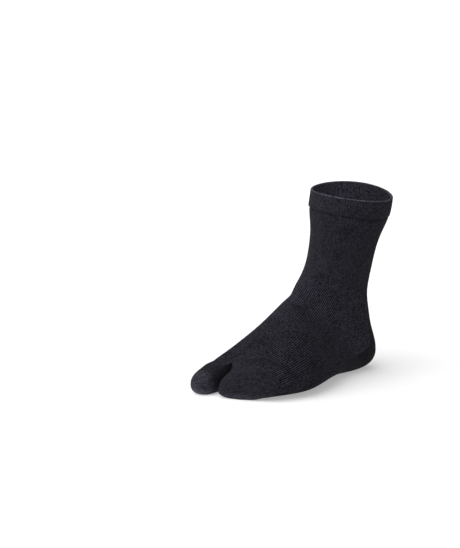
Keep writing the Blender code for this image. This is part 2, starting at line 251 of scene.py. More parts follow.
def section_table():
    """One row of sizes in metres for each section, from the rim to the toes."""
    leg_height = SOCK_HEIGHT - ANKLE_HEIGHT
    sections = []
    for values in LEG_ROWS:
        row = dict(zip(LEG_COLUMNS.split(), values))
        half = (ANKLE_WIDTH + row["flare"] * (CUFF_WIDTH - ANKLE_WIDTH)) / 2
        sections.append(
            (
                row["front"] * FOOT_LENGTH,
                ANKLE_HEIGHT + row["front_up"] * leg_height,
                row["back"] * FOOT_LENGTH,
                ANKLE_HEIGHT + row["back_up"] * leg_height,
                half,
                half,
                row["shift"] * CUFF_WIDTH,
                0.5,
                2.0,
                row["tilt"],
                0.0,
            )
        )
    for columns, rows, width in (
        (HEEL_COLUMNS, HEEL_ROWS, HEEL_WIDTH),
        (FOOT_COLUMNS, FOOT_ROWS, BALL_WIDTH),
    ):
        for values in rows:
            row = dict(zip(columns.split(), values))
            sections.append(
                (
                    row["front"] * FOOT_LENGTH,
                    row["front_up"] * ANKLE_HEIGHT,
                    row["back"] * FOOT_LENGTH,
                    row["back_up"] * ANKLE_HEIGHT,
                    row["inner_half"] * width,
                    row["outer_half"] * width,
                    row["shift"] * width,
                    row["widest"],
                    row["round"],
                    0.0,
                    row.get("valley", 0.0) * TOE_HEIGHT,
                )
            )
    sections = np.array(sections)
    sections[-1, 1] = TOE_HEIGHT
    return sections


def spline(knots, values, at):
    """Natural cubic spline through rows of values, read at the given places."""
    knots = np.asarray(knots, float)
    values = np.asarray(values, float)
    at = np.atleast_1d(np.asarray(at, float))
    step = np.diff(knots)
    count = len(knots)
    matrix = np.eye(count)
    right = np.zeros_like(values)
    slope = np.diff(values, axis=0) / step[:, None]
    for i in range(1, count - 1):
        matrix[i, i - 1 : i + 2] = step[i - 1], 2 * (step[i - 1] + step[i]), step[i]
        right[i] = 6 * (slope[i] - slope[i - 1])
    bend = np.linalg.solve(matrix, right)
    i = np.clip(np.searchsorted(knots, at, side="right") - 1, 0, count - 2)
    done = (at - knots[i])[:, None]
    left = (knots[i + 1] - at)[:, None]
    width = step[i][:, None]
    curved = (bend[i] * left**3 + bend[i + 1] * done**3) / (6 * width)
    near = (values[i] / width - bend[i] * width / 6) * left
    far = (values[i + 1] / width - bend[i + 1] * width / 6) * done
    return curved + near + far


def lengths_along(points):
    return np.r_[0, np.cumsum(np.linalg.norm(np.diff(points, axis=0), axis=1))]


def spread_evenly(points, shares):
    """Points at the given shares of the length of an open line."""
    lengths = lengths_along(points)
    at = np.asarray(shares) * lengths[-1]
    return np.stack([np.interp(at, lengths, points[:, k]) for k in range(points.shape[1])], 1)


def half_section(row, side):
    """Fine outline of half a section, from its front or top to its back or bottom."""
    front, front_up, back, back_up, inner, outer, shift, widest, power, tilt, valley = row
    depth = np.hypot(front - back, front_up - back_up)
    angle = np.linspace(0, np.pi, OUTLINE_POINTS)
    cosine, sine = np.cos(angle), np.sin(angle)
    powers = np.where(cosine >= 0, 2.0, power)
    reach = (np.abs(cosine) ** powers + np.abs(sine) ** powers) ** (-1 / powers)
    place = widest + np.where(cosine >= 0, 1 - widest, widest) * reach * cosine
    aside = side * (outer if side > 0 else inner) * reach * sine
    place = place - (cosine > 0) * valley / depth * np.exp(-((aside / VALLEY_REACH) ** 2))
    return np.stack(
        [
            shift + aside,
            back + (front - back) * place,
            np.maximum(back_up + (front_up - back_up) * place + tilt * aside, 0),
        ],
        1,
    )


SECTIONS = section_table()


def section_row(u):
    return spline(np.arange(len(SECTIONS)), SECTIONS, u)[0]


def foot_point(u, v):
    """Points of the outside at section u and shares v of the way round, from the front or top."""
    row = section_row(u)
    v = np.mod(v, 1.0)
    outer = spread_evenly(half_section(row, 1), np.clip(v * 2, 0, 1))
    inner = spread_evenly(half_section(row, -1), np.clip(2 - v * 2, 0, 1))
    points = np.where((v <= 0.5)[:, None], outer, inner)
    if u < RIM_FADE[1]:
        fade = 1 - smooth_step(u, *RIM_FADE)
        tilt = RIM_TILT * np.cos(2 * np.pi * (v - RIM_NEAR))
        wave = RIM_WAVE * np.cos(4 * np.pi * (v - RIM_TURN))
        points[:, 2] += fade * (RIM_RISE + tilt + wave)
    return points


def half_lengths(u):
    """Lengths of the knit from the front of a section to its back, on the outer and inner side."""
    row = section_row(u)
    return lengths_along(half_section(row, 1))[-1], lengths_along(half_section(row, -1))[-1]


def unit(vectors):
    return vectors / np.maximum(np.linalg.norm(vectors, axis=-1, keepdims=True), 1e-12)


def upright(normals):
    return unit(normals * (1, 0, 1))


def smooth_step(value, low, high):
    share = np.clip((value - low) / (high - low), 0, 1)
    return share * share * (3 - 2 * share)


def seam_half(u):
    return float(np.interp(u, list(SEAM_HALF), list(SEAM_HALF.values())))


def to_part(points):
    aside, forward, up = np.moveaxis(points, -1, 0)
    return np.stack([aside, HEEL_CENTRE * FOOT_LENGTH - forward, up - WALL], -1)


# Wales are counted by their distance from the front line, so they run side by side down the foot
HALF_WALES = round(sum(half_lengths(LEG_END)) / 2 / RIB_PITCH)
WALES_PER_METRE = HALF_WALES / np.array(half_lengths(LEG_END))


def wales_round(u):
    """Wales from the front line to the back line of a section, on the outer and inner side."""
    if u <= LEG_END:
        return float(HALF_WALES), float(HALF_WALES)
    outer, inner = half_lengths(u)
    return outer * WALES_PER_METRE[0], inner * WALES_PER_METRE[1]


def sample(u, v):
    """Outside points, normals and length per section at one station."""
    low, high = max(u - NUDGE, 0), min(u + NUDGE, FOOT_END)
    along = foot_point(high, v) - foot_point(low, v)
    across = foot_point(u, v + NUDGE) - foot_point(u, v - NUDGE)
    normals = unit(np.cross(across, along))
    if u >= FOOT_END:
        normals = upright(normals)
    return foot_point(u, v), normals, np.linalg.norm(along, axis=1) / (high - low)


def lengths_down(stations):
    """Length of knit from the first of some section numbers to each, along the outer side."""
    return lengths_along(np.stack([foot_point(u, np.array([SIDE_SHARE]))[0] for u in stations]))


def stations_between(start, end):
    """Section numbers about a row step apart down the knit."""
    fine = np.linspace(start, end, FINE_STATIONS)
    lengths = lengths_down(fine)
    count = max(3, round(lengths[-1] / ROW_STEP))
    return np.interp(np.linspace(0, lengths[-1], count + 1), lengths, fine)


def waves(points):
    """Slow unevenness of worn knit, which fades out at the floor."""
    total = sum(share * np.sin(points @ np.array(turns) + phase) for turns, phase, share in WAVES)
    return WAVE * total * smooth_step(points[..., 2], *WAVE_FLOOR_FADE)


def folds(points):
    """Rise of the surface at the folds and the shade painted into them, which fade out at the ends of
    their paths.
    """
    places = to_part(points)
    rise = np.zeros(places.shape[:-1])
    shade = np.ones(places.shape[:-1])
    shares = np.linspace(0, 1, FOLD_POINTS)
    for path, depth, width in FOLDS:
        away = np.linalg.norm(places[..., None, :] - spread_evenly(np.array(path), shares), axis=-1)
        ends = np.sin(np.pi * shares[away.argmin(-1)]) ** 0.5
        fold = ends * np.exp(-((away.min(-1) / width) ** 2))
        rise -= depth * fold
        # painted shade in the fold
        shade -= FOLD_PAINTED_SHADE * fold * np.clip(depth / FOLD_FULL, 0, 1)
    return rise, shade


def rib_shape(wale):
    """Rounded ribs and valleys, between 0 and 1."""
    return 0.5 + 0.5 * np.cos(2 * np.pi * wale)


def painted_rib_shade(shape, height):
    """Painted shade on the ribs: the yarn darker in the valleys, with the same mean for all heights.
    """
    strength = VALLEY_PAINTED_SHADE * np.clip(height / INSTEP_RIB, 0, 1)
    return (1 - (1 - shape) * strength) / (1 - 0.5 * strength)


# painted light on the inside of the leg and band
def painted_inside_light(v):
    return INSIDE_PAINTED_LIGHT * np.exp(INSIDE_CHANGE * np.cos(2 * np.pi * (v - INSIDE_TURN)))


# painted light and shade along the knit
def light_painted_at(name, u):
    places, shades = zip(*LIGHT_PAINTED_ALONG[name])
    return float(np.interp(u, places, shades))


def groove(distance, depth, width):
    return -depth * np.exp(-((distance / width) ** 2))


def seam_distance(u, v):
    """Length of knit from the gore seam, positive on the sole's side."""
    halves = half_lengths(u)
    past = np.abs(v) - (0.5 - seam_half(u))
    return past * 2 * np.where(v >= 0, halves[0], halves[1])


def rib_height(u, v, along):
    """Height of the ribs at a station, where along is the length of knit per section."""
    height = LEG_RIB + (INSTEP_RIB - LEG_RIB) * smooth_step(u, *RIB_GROWS)
    if u <= LEG_END:
        seam = 0.5 - seam_half(LEG_END)
        beside = smooth_step(np.abs(v), seam - SEAM_BLEND, seam)
        fade = smooth_step((LEG_END - u) * along, 0, SEAM_FADE)
        height = height * (1 - beside + beside * fade)
    else:
        height = height * smooth_step(-seam_distance(u, v), 0, SEAM_FADE)
    return height * smooth_step((FOOT_END - u) * along, 0, ROOT_FADE)


def surface_row(u, v, wale, plain):
    """Foot places of the finished outside at one station, its painted light and shade, and the
    normals.
    """
    points, normals, along = sample(u, v)
    rise, shade = folds(points)
    rise = rise + waves(points)
    if plain:
        painted_light_and_tone = shade
    else:
        height = rib_height(u, v, along)
        shape = rib_shape(wale)
        rise = rise + height * (shape - RIB_MIDDLE)
        # painted shade in the rib valleys and in the folds
        painted_light_and_tone = shade * painted_rib_shade(shape, height)
    if u >= LEG_END:
        rise = rise + groove(seam_distance(u, v), GORE_DEPTH, GORE_WIDTH)
    return points + rise[:, None] * normals, painted_light_and_tone, normals


class Shell:
    """Collects the points, faces and (wale, course) corners of one closed piece."""

    def __init__(self):
        self.points = []
        self.painted_light_and_tone = []
        self.faces = []
        self.corners = []

    def add_points(self, points, painted_light_and_tone):
        start = len(self.points)
        self.points.extend(to_part(points).tolist())
        self.painted_light_and_tone.extend(painted_light_and_tone.tolist())
        return start

    def add_ring(self, points, painted_light_and_tone):
        """Adds a ring whose last point repeats its first."""
        start = self.add_points(points[:-1], painted_light_and_tone[:-1])
        return start + np.arange(len(points)) % (len(points) - 1)

    def add_face(self, corners):
        """Adds a face from (point, wale, course) corners, dropping repeated points."""
        kept = [c for c, following in zip(corners, corners[1:] + corners[:1]) if c[0] != following[0]]
        if len(kept) > 2:
            self.faces.append([c[0] for c in kept])
            self.corners.extend((c[1], c[2]) for c in kept)

    def add_skin(self, index, wales, courses, inward=False):
        """Faces of a grid of point numbers with rows down the knit and columns round it."""
        rows, across = index.shape
        index = index.tolist()
        wales = wales.tolist()
        courses = courses.tolist()
        for i in range(rows - 1):
            for j in range(across - 1):
                places = [(i, j), (i + 1, j), (i + 1, j + 1), (i, j + 1)]
                if inward:
                    places.reverse()
                self.add_face([(index[a][b], wales[a][b], courses[a][b]) for a, b in places])

    def add_border(self, outer, inner, flip=False):
        """Closes the wall between an outer and an inner edge of (point, share, wale, course)."""
        i = j = 0
        while i < len(outer) - 1 or j < len(inner) - 1:
            outer_next = i < len(outer) - 1 and (
                j == len(inner) - 1 or outer[i + 1][1] <= inner[j + 1][1]
            )
            if outer_next:
                face = [outer[i], outer[i + 1], inner[j]]
                i += 1
            else:
                face = [outer[i], inner[j + 1], inner[j]]
                j += 1
            if flip:
                face.reverse()
            self.add_face([(c[0], c[2], c[3]) for c in face])


def edge_of(index, shares, wales, courses):
    """An edge for add_border, without repeated points."""
    edge = []
    for corner in zip(index.tolist(), shares.tolist(), wales.tolist(), courses.tolist()):
        if not edge or edge[-1][0] != corner[0]:
            edge.append(corner)
    return edge


def close_sheet(shell, outer_rows, inner_rows):
    """Skins of a sheet and the walls at its two ends, from rows of (index, v, wale, course)."""
    grids = []
    for rows, inward in ((outer_rows, False), (inner_rows, True)):
        index, v, wale, course = (np.stack(part) for part in zip(*rows))
        shell.add_skin(index, wale, course, inward)
        grids.append((index, v, wale, course))
    for row, flip in ((0, False), (-1, True)):
        outer, inner = (edge_of(*(part[row] for part in grid)) for grid in grids)
        shell.add_border(outer, inner, flip)
    return grids


def finish_piece(name, shell):
    """Makes a shell into an object that takes the place of the model's piece of that name."""
    mesh = bpy.data.meshes.new(name)
    mesh.from_pydata(shell.points, [], shell.faces)
    layer = mesh.uv_layers.new(name="knit")
    layer.data.foreach_set("uv", np.array(shell.corners, np.float32).ravel())
    painted_light_and_tone = mesh.attributes.new("painted_light_and_tone", "FLOAT", "POINT")
    painted_light_and_tone.data.foreach_set("value", np.array(shell.painted_light_and_tone, np.float32))
    mesh.shade_smooth()
    mesh.set_sharp_from_angle(angle=SHARP_ANGLE)
    mesh.validate()
    mesh.materials.append(MATERIALS[name])
    piece = bpy.data.objects.new(name, mesh)
    bpy.context.scene.collection.objects.link(piece)
    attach(piece, "root")
    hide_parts(name)


def add_sheet(name, stations, columns_of, plain):
    """One closed sheet of the foot, where columns_of gives the places round each station."""
    shell = Shell()
    courses = lengths_down(stations) / COURSE
    outer_rows, inner_rows = [], []
    for u, course in zip(stations, courses):
        for fine, rows in ((True, outer_rows), (False, inner_rows)):
            v, wale, kept = columns_of(u, fine)
            points, painted_light_and_tone, normals = surface_row(u, v, wale, plain or not fine)
            # painted light and shade along the knit
            painted_light_and_tone = painted_light_and_tone * light_painted_at(name, u)
            if not fine:
                points = foot_point(u, v) - WALL * normals
                # painted light on the inside
                painted_light_and_tone = np.full(len(v), INSIDE_PAINTED_LIGHT)
            start = shell.add_points(points[kept[0] : kept[1] + 1], painted_light_and_tone[kept[0] : kept[1] + 1])
            index = start + np.clip(np.arange(len(v)), kept[0], kept[1]) - kept[0]
            rows.append((index, v, wale, np.full(len(v), course)))
    grids = close_sheet(shell, outer_rows, inner_rows)
    for column, flip in ((0, True), (-1, False)):
        sides = []
        for index, _, wale, course in grids:
            share = np.arange(len(index))
            sides.append(edge_of(index[:, column], share, wale[:, column], course[:, column]))
        shell.add_border(sides[0], sides[1], flip)
    finish_piece(name, shell)


def upper_columns(u, fine):
    """Columns of the instep: fine ones follow the ribs, coarse ones line the inside."""
    halves = wales_round(u)
    edge = 0.5 - seam_half(u)
    if fine:
        count = MOST_WALES * POINTS_PER_RIB
        wale = np.arange(-count, count + 1) / POINTS_PER_RIB
        v = np.where(wale >= 0, wale / (2 * halves[0]), wale / (2 * halves[1]))
    else:
        v = np.linspace(-edge, edge, INNER_COLUMNS + 1)
    first = int(np.searchsorted(v, -edge + HAIR)) - 1 if fine else 0
    last = int(np.searchsorted(v, edge - HAIR)) if fine else len(v) - 1
    v = np.clip(v, -edge, edge)
    wale = np.where(v >= 0, v * 2 * halves[0], v * 2 * halves[1])
    return v, wale, (max(first, 0), min(last, len(v) - 1))


def under_columns(u, fine):
    """Columns of the heel and the sole."""
    count = UNDER_COLUMNS if fine else UNDER_COLUMNS // 3
    v = 0.5 + seam_half(u) * np.linspace(-1, 1, count + 1)
    v = np.where(v > 0.5, v - 1, v)
    halves = half_lengths(u)
    wale = np.where(v > 0, (v - 0.5) * 2 * halves[0], (v + 0.5) * 2 * halves[1]) / PLAIN_PITCH
    return v, wale, (0, count)


# Wales across the widest section of the instep
MOST_WALES = int(
    max(
        np.ceil(max(wales_round(u)) * 2 * (0.5 - seam_half(u)))
        for u in np.linspace(LEG_END, FOOT_END, 60)
    )
)


def round_columns():
    """Columns all round the leg, from the back by way of the inner side and the front."""
    count = HALF_WALES * POINTS_PER_RIB
    v = np.arange(-count, count + 1) / (2 * count)
    return v, v * 2 * HALF_WALES


def welt_end():
    """Section number where the band at the top ends, WELT_HEIGHT along the knit."""
    stations = np.linspace(0, 2, 41)
    shares = np.arange(48) / 48
    rings = np.stack([foot_point(u, shares) for u in stations])
    steps = np.linalg.norm(np.diff(rings, axis=0), axis=2).mean(1)
    return float(np.interp(WELT_HEIGHT, np.r_[0, np.cumsum(steps)], stations))


def add_leg():
    """The tube of the leg, from under the edge of the band to the ankle."""
    shell = Shell()
    stations = stations_between(welt_end(), LEG_END)
    first_step = stations[1] - stations[0]
    stations = np.r_[stations[0] + first_step * np.array(FIRST_ROWS), stations[1:]]
    courses = lengths_down(stations) / COURSE
    outer_rows, inner_rows = [], []
    for u, course in zip(stations, courses):
        v, wale = round_columns()
        base, normals, along = sample(u, v)
        below = course * COURSE
        free = smooth_step(below, 0, 2 * WELT_LIP)
        height = rib_height(u, v, along) * free
        shape = rib_shape(wale)
        rise, shade = folds(base)
        rise = rise + waves(base) + height * (shape - RIB_MIDDLE) - WELT_TUCK * (1 - free)
        points = base + rise[:, None] * normals
        # painted shade in the valleys, and painted light and shade along the knit
        painted_light_and_tone = shade * painted_rib_shade(shape, height) * light_painted_at("leg", u)
        lines = sum(np.exp(-(((below - line) / LEG_LINE_WIDTH) ** 2)) for line in LEG_LINES)
        # painted shade under the edge of the band; faint darker lines round the leg
        painted_light_and_tone = painted_light_and_tone * (1 - TUCK_PAINTED_SHADE * (1 - free)) * (1 - LEG_LINE_SHADE * lines)
        index = shell.add_ring(points, painted_light_and_tone)
        outer_rows.append((index, v, wale, np.full(len(v), course)))
        v = np.linspace(-0.5, 0.5, 2 * INNER_COLUMNS + 1)
        base, normals, _ = sample(u, v)
        # painted light on the inside
        index = shell.add_ring(base - WALL * normals, painted_inside_light(v))
        inner_rows.append((index, v, v * 2 * HALF_WALES, np.full(len(v), course)))
    close_sheet(shell, outer_rows, inner_rows)
    finish_piece("leg", shell)


def add_cuff():
    """The folded band: up its inside, over the fold and down its outside to a tucked edge."""
    shell = Shell()
    fine = np.linspace(0, welt_end(), FINE_STATIONS)
    lengths = lengths_down(fine)
    fold = WELT_WALL / 2
    straight = np.linspace(fold, WELT_HEIGHT - WELT_LIP, WELT_ROWS)
    places = np.r_[straight, WELT_HEIGHT - WELT_LIP * np.array(LIP_ROWS)]
    stations = np.interp(places / WELT_HEIGHT * lengths[-1], lengths, fine)
    v, wale = round_columns()
    outside, inside = [], []
    for u, place in zip(stations, places):
        points, normals, along = sample(u, v)
        shape = rib_shape(wale)
        tuck = np.clip(1 - (WELT_HEIGHT - place) / WELT_LIP, 0, 1)
        front = 0.5 + 0.5 * np.cos(2 * np.pi * (v - WELT_FRONT))
        flare = smooth_step(place, FLARE_START * WELT_HEIGHT, WELT_HEIGHT)
        proud = WELT_PROUD + WELT_FLARE * front * flare
        least = TUCK_LEAST + (1 - TUCK_LEAST) * front
        lip = (proud + WELT_TUCK * least) * (1 - np.sqrt(1 - tuck**2))
        height = rib_height(u, v, along) * (1 - tuck)
        rise = proud - lip + waves(points) + height * (shape - RIB_MIDDLE)
        # painted shade in the rib valleys
        painted_light_and_tone = painted_rib_shade(shape, height)
        outside.append((points + rise[:, None] * normals, painted_light_and_tone, place))
        rise = WELT_PROUD - WELT_WALL - LEG_RIB * (shape - RIB_MIDDLE)
        # painted light inside the band, with painted shade in its faint ribs
        shade = painted_inside_light(v) * painted_rib_shade(1 - shape, INSIDE_RIB)
        inside.append((points + rise[:, None] * normals, shade, 2 * WELT_HEIGHT - place))
    top, normals, _ = sample(stations[0], v)
    down = unit(sample(stations[1], v)[0] - top)
    centre = top + (WELT_PROUD - fold) * normals
    over = []
    for angle in np.radians(RIM_ANGLES):
        points = centre - down * fold * np.cos(angle) + normals * fold * np.sin(angle)
        # painted highlight along the fold of the rim
        over.append((points, np.full(len(v), RIM_PAINTED_HIGHLIGHT), 0.0))
    grid = []
    for points, painted_light_and_tone, place in inside[::-1] + over + outside:
        index = shell.add_ring(points, painted_light_and_tone)
        grid.append((index, wale, np.full(len(v), place / COURSE)))
    grid.append(grid[0])
    index, wales, courses = (np.stack(part) for part in zip(*grid))
    shell.add_skin(index, wales, courses)
    finish_piece("cuff", shell)


def toe_outline(rows, root):
    """Reads a pocket's outline at any share of the way along it, from the foot's own section."""
    ends = (root[:, 0].min(), root[:, 0].max(), root[:, 2].max(), root[:, 2].min())
    scale = np.array([BALL_WIDTH, BALL_WIDTH, TOE_HEIGHT, TOE_HEIGHT])
    named = [dict(zip(TOE_COLUMNS.split(), row)) for row in rows]
    knots = [0.0] + [row["along"] for row in named]
    sides = [(row["inner"], row["outer"], row["top"], row["floor"]) for row in named]
    values = [ends] + [np.array(row) * scale for row in sides]
    return lambda along: spline(knots, values, along)[0]


def toe_root(side, far, near):
    """The ring that a pocket starts from: its share of the foot's last section and the split."""
    shares = np.linspace(0, 0.5, far + 1) * side
    ring = foot_point(FOOT_END, shares)
    up = np.linspace(0, 1, near + 1)[1:-1, None]
    return np.concatenate([ring, ring[-1] + (ring[0] - ring[-1]) * up])


def round_ring(side, far, near):
    """A toe's round section, between -1 and 1 both ways, in step with the points of its root."""
    corner = np.radians(TOE_CORNER)
    parts = []
    for start, end, count in (
        (-corner, np.pi + corner, far),
        (np.pi + corner, 2 * np.pi - corner, near),
    ):
        angle = np.linspace(start, end, OUTLINE_POINTS)
        cosine, sine = np.cos(angle), np.sin(angle)
        reach = (np.abs(cosine) ** TOE_ROUND + np.abs(sine) ** TOE_ROUND) ** (-1 / TOE_ROUND)
        line = np.stack([side * reach * sine, reach * cosine], 1)
        parts.append(spread_evenly(line, np.linspace(0, 1, count + 1)))
    return np.concatenate([parts[0], parts[1][1:-1]])


def toe_rings(rows, tip, side, far, near, stations):
    """Outside of a pocket at each station, from the split to its tip."""
    root = toe_root(side, far, near)
    outline = toe_outline(rows, root)
    start = root[0, 1]
    tip_forward, tip_aside, tip_up = np.array(tip) * (FOOT_LENGTH, BALL_WIDTH, TOE_HEIGHT)
    inner, outer, top, floor = outline(0)
    middle = np.array([(inner + outer) / 2, (top + floor) / 2])
    half = np.array([(outer - inner) / 2, (top - floor) / 2])
    flat_side = (root[:, [0, 2]] - middle) / half
    turned = round_ring(side, far, near)
    rings = []
    for along in stations:
        inner, outer, top, floor = outline(along)
        blend = smooth_step(along, 0, ROUND_BY)
        shape = flat_side * (1 - blend) + turned * blend
        aside = (inner + outer) / 2 + (outer - inner) / 2 * shape[:, 0]
        up = (top + floor) / 2 + (top - floor) / 2 * shape[:, 1]
        nose = max(0.0, (along - NOSE_START) / (1 - NOSE_START))
        size = (1 - nose**NOSE_POWER) ** (1 / NOSE_POWER)
        forward = np.full_like(aside, start + (tip_forward - start) * along)
        aside = tip_aside + (aside - tip_aside) * size
        up = np.maximum(tip_up + (up - tip_up) * size, 0)
        rings.append(np.stack([aside, forward, up], 1))
    return np.stack(rings)


def ring_normals(rings, side):
    along = np.gradient(rings, axis=0)
    across = np.roll(rings, -1, axis=1) - np.roll(rings, 1, axis=1)
    normals = side * unit(np.cross(across, along))
    normals[0] = upright(normals[0])
    normals[-1] = (0, 1, 0)
    return normals


def add_toe(rows, tip, side, cuts):
    """The pieces of one pocket, where cuts gives the name, rows and finish of each."""
    wales_far = max(wales_round(FOOT_END)) if side > 0 else min(wales_round(FOOT_END))
    far = round(wales_far * POINTS_PER_RIB)
    near = round(TOE_HEIGHT / RIB_PITCH * POINTS_PER_RIB)
    straight = np.linspace(0, TOE_STRAIGHT, TOE_STRAIGHT_ROWS)
    nose = 1 - (1 - TOE_STRAIGHT) * (1 - np.linspace(0, 1, TOE_NOSE_ROWS + 1)[1:]) ** 2
    stations = np.r_[straight, nose]
    rings = toe_rings(rows, tip, side, far, near, stations)
    normals = ring_normals(rings, side)
    girth = np.linalg.norm(np.roll(rings, -1, axis=1) - rings, axis=2).sum(1)
    forward = rings[:, 0, 1] - rings[0, 0, 1]
    point_at = np.r_[np.arange(far + 1), np.arange(far, far + near + 1)] % (far + near)
    wale = np.r_[np.linspace(0, wales_far, far + 1), np.linspace(-near / POINTS_PER_RIB, 0, near + 1)]
    shape = rib_shape(np.r_[wale[: far + 1], wale[far + 2 : -1]])
    in_split = np.r_[np.zeros(far + 1), np.ones(near - 1)]
    for name, first, last, plain in cuts:
        take = slice(first, last + 1)
        shell = Shell()
        points = rings[take]
        lean = normals[take]
        fade = 1 - smooth_step(stations[take], *TIP_FADE)
        height = (0 if plain else TOE_RIB) * fade * girth[take] / girth[0]
        height = height[:, None] * smooth_step(points[..., 2], *TOE_FLOOR_FADE)
        rise, shade = folds(points)
        rise = rise + waves(points) + height * (shape - RIB_MIDDLE)
        # painted shade deep in the split between the toes
        deep = in_split * (1 - smooth_step(forward[take], *SPLIT_DEPTHS))[:, None]
        # painted light from the floor along the toes' lower edge
        low = 1 - smooth_step(points[..., 2], LOW_FULL * LOW_EDGE, LOW_EDGE)
        # painted shade in the rib valleys and in the folds
        painted_light_and_tone = shade * painted_rib_shade(shape, height)
        painted_light_and_tone = painted_light_and_tone * (1 - SPLIT_PAINTED_SHADE * deep) * (1 + LOW_EDGE_PAINTED_LIGHT * low)
        if plain:
            edge = 1 - smooth_step(forward[take] - forward[first], 0, CAP_EDGE)
            painted_light_and_tone = painted_light_and_tone * (1 - CAP_EDGE_SHADE * edge)[:, None]
        outside = points + rise[..., None] * lean
        inside = points - WALL * lean
        domed = last == len(stations) - 1
        skins = []
        # the outside carries painted shade and light, the inside painted light
        for skin, value in ((outside, painted_light_and_tone), (inside, np.full_like(painted_light_and_tone, INSIDE_PAINTED_LIGHT))):
            index = []
            for i in range(len(skin)):
                if domed and i == len(skin) - 1:
                    start = shell.add_points(skin[i].mean(0)[None], value[i][:1])
                    index.append(np.full(len(point_at), start))
                else:
                    start = shell.add_points(skin[i], value[i])
                    index.append(start + point_at)
            skins.append(np.stack(index))
        courses = np.repeat(forward[take, None] / COURSE, len(point_at), axis=1)
        wales = np.repeat(wale[None], len(points), axis=0)
        if side < 0:
            skins = [skin[:, ::-1] for skin in skins]
            wales = wales[:, ::-1]
        shell.add_skin(skins[0], wales, courses)
        shell.add_skin(skins[1], wales, courses, inward=True)
        share = np.arange(len(point_at), dtype=float)
        ends = [(0, False)] if domed else [(0, False), (-1, True)]
        for row, flip in ends:
            outer, inner = (edge_of(skin[row], share, wales[row], courses[row]) for skin in skins)
            shell.add_border(outer, inner, flip)
        finish_piece(name, shell)


# Yarns of the pieces, as (colour, how far the heather strays from it)
YARN = (0.0121, 0.0114, 0.0157)
# The leg, the cuff and the heel pocket are one yarn made darker or paler: painted shade and light for
# how the light falls on them
YARNS_WITH_PAINTED_SHADING = {
    "cuff": ((0.0121, 0.0114, 0.0155), 0.70),
    "leg": ((0.0108, 0.0102, 0.0141), 0.68),
    "instep": (YARN, 0.92),
    "heel_pocket": ((0.0068, 0.0065, 0.0090), 0.78),
    "sole": ((0.0128, 0.0120, 0.0163), 0.78),
    "big_toe_pocket": (YARN, 0.78),
    "big_toe_cap": ((0.0255, 0.0242, 0.0322), 0.90),
    "four_toe_pocket": (YARN, 0.78),
}
STITCH_LEAN = 0.7  # rows of stitches that a stitch leans across half a wale
STITCH_EDGE = 0.3  # height of a stitch at the edges of its wale, as a share of its middle
STITCH_BUMP = 0.5
STITCH_DEPTH = 0.0004
FIBRE_BUMP = 0.5
FIBRE_NOISE = (1300, 2)  # scale and detail
CLOUD_NOISE = (55, 3)
STITCH_SHARE = 0.6  # share of each in the shade of the heather
FIBRE_SHARE = 0.4
CLOUD_SHARE = 0.35
DARKEST = 0.30  # where in that shade the ramp begins
KNIT_ROUGHNESS = (0.86, 1.0)
KNIT_SURFACE = {"Sheen Weight": 0.012, "Sheen Roughness": 0.6, "Specular IOR Level": 0.05}


def link(tree, source, target):
    tree.links.new(source, target)


def set_inputs(node, values):
    for name, value in values.items():
        node.inputs[name].default_value = value


def math_node(tree, operation, first, second=None):
    node = tree.nodes.new("ShaderNodeMath")
    node.operation = operation
    for socket, value in zip(node.inputs, (first, second)):
        if value is None:
            continue
        if isinstance(value, (int, float)):
            socket.default_value = value
        else:
            link(tree, value, socket)
    return node.outputs[0]


def times(tree, first, second):
    return math_node(tree, "MULTIPLY", first, second)


def plus(tree, first, second):
    return math_node(tree, "ADD", first, second)


def noise_node(tree, place, scale, detail):
    node = tree.nodes.new("ShaderNodeTexNoise")
    set_inputs(node, {"Scale": scale, "Detail": detail})
    link(tree, place, node.inputs["Vector"])
    return node.outputs[0]


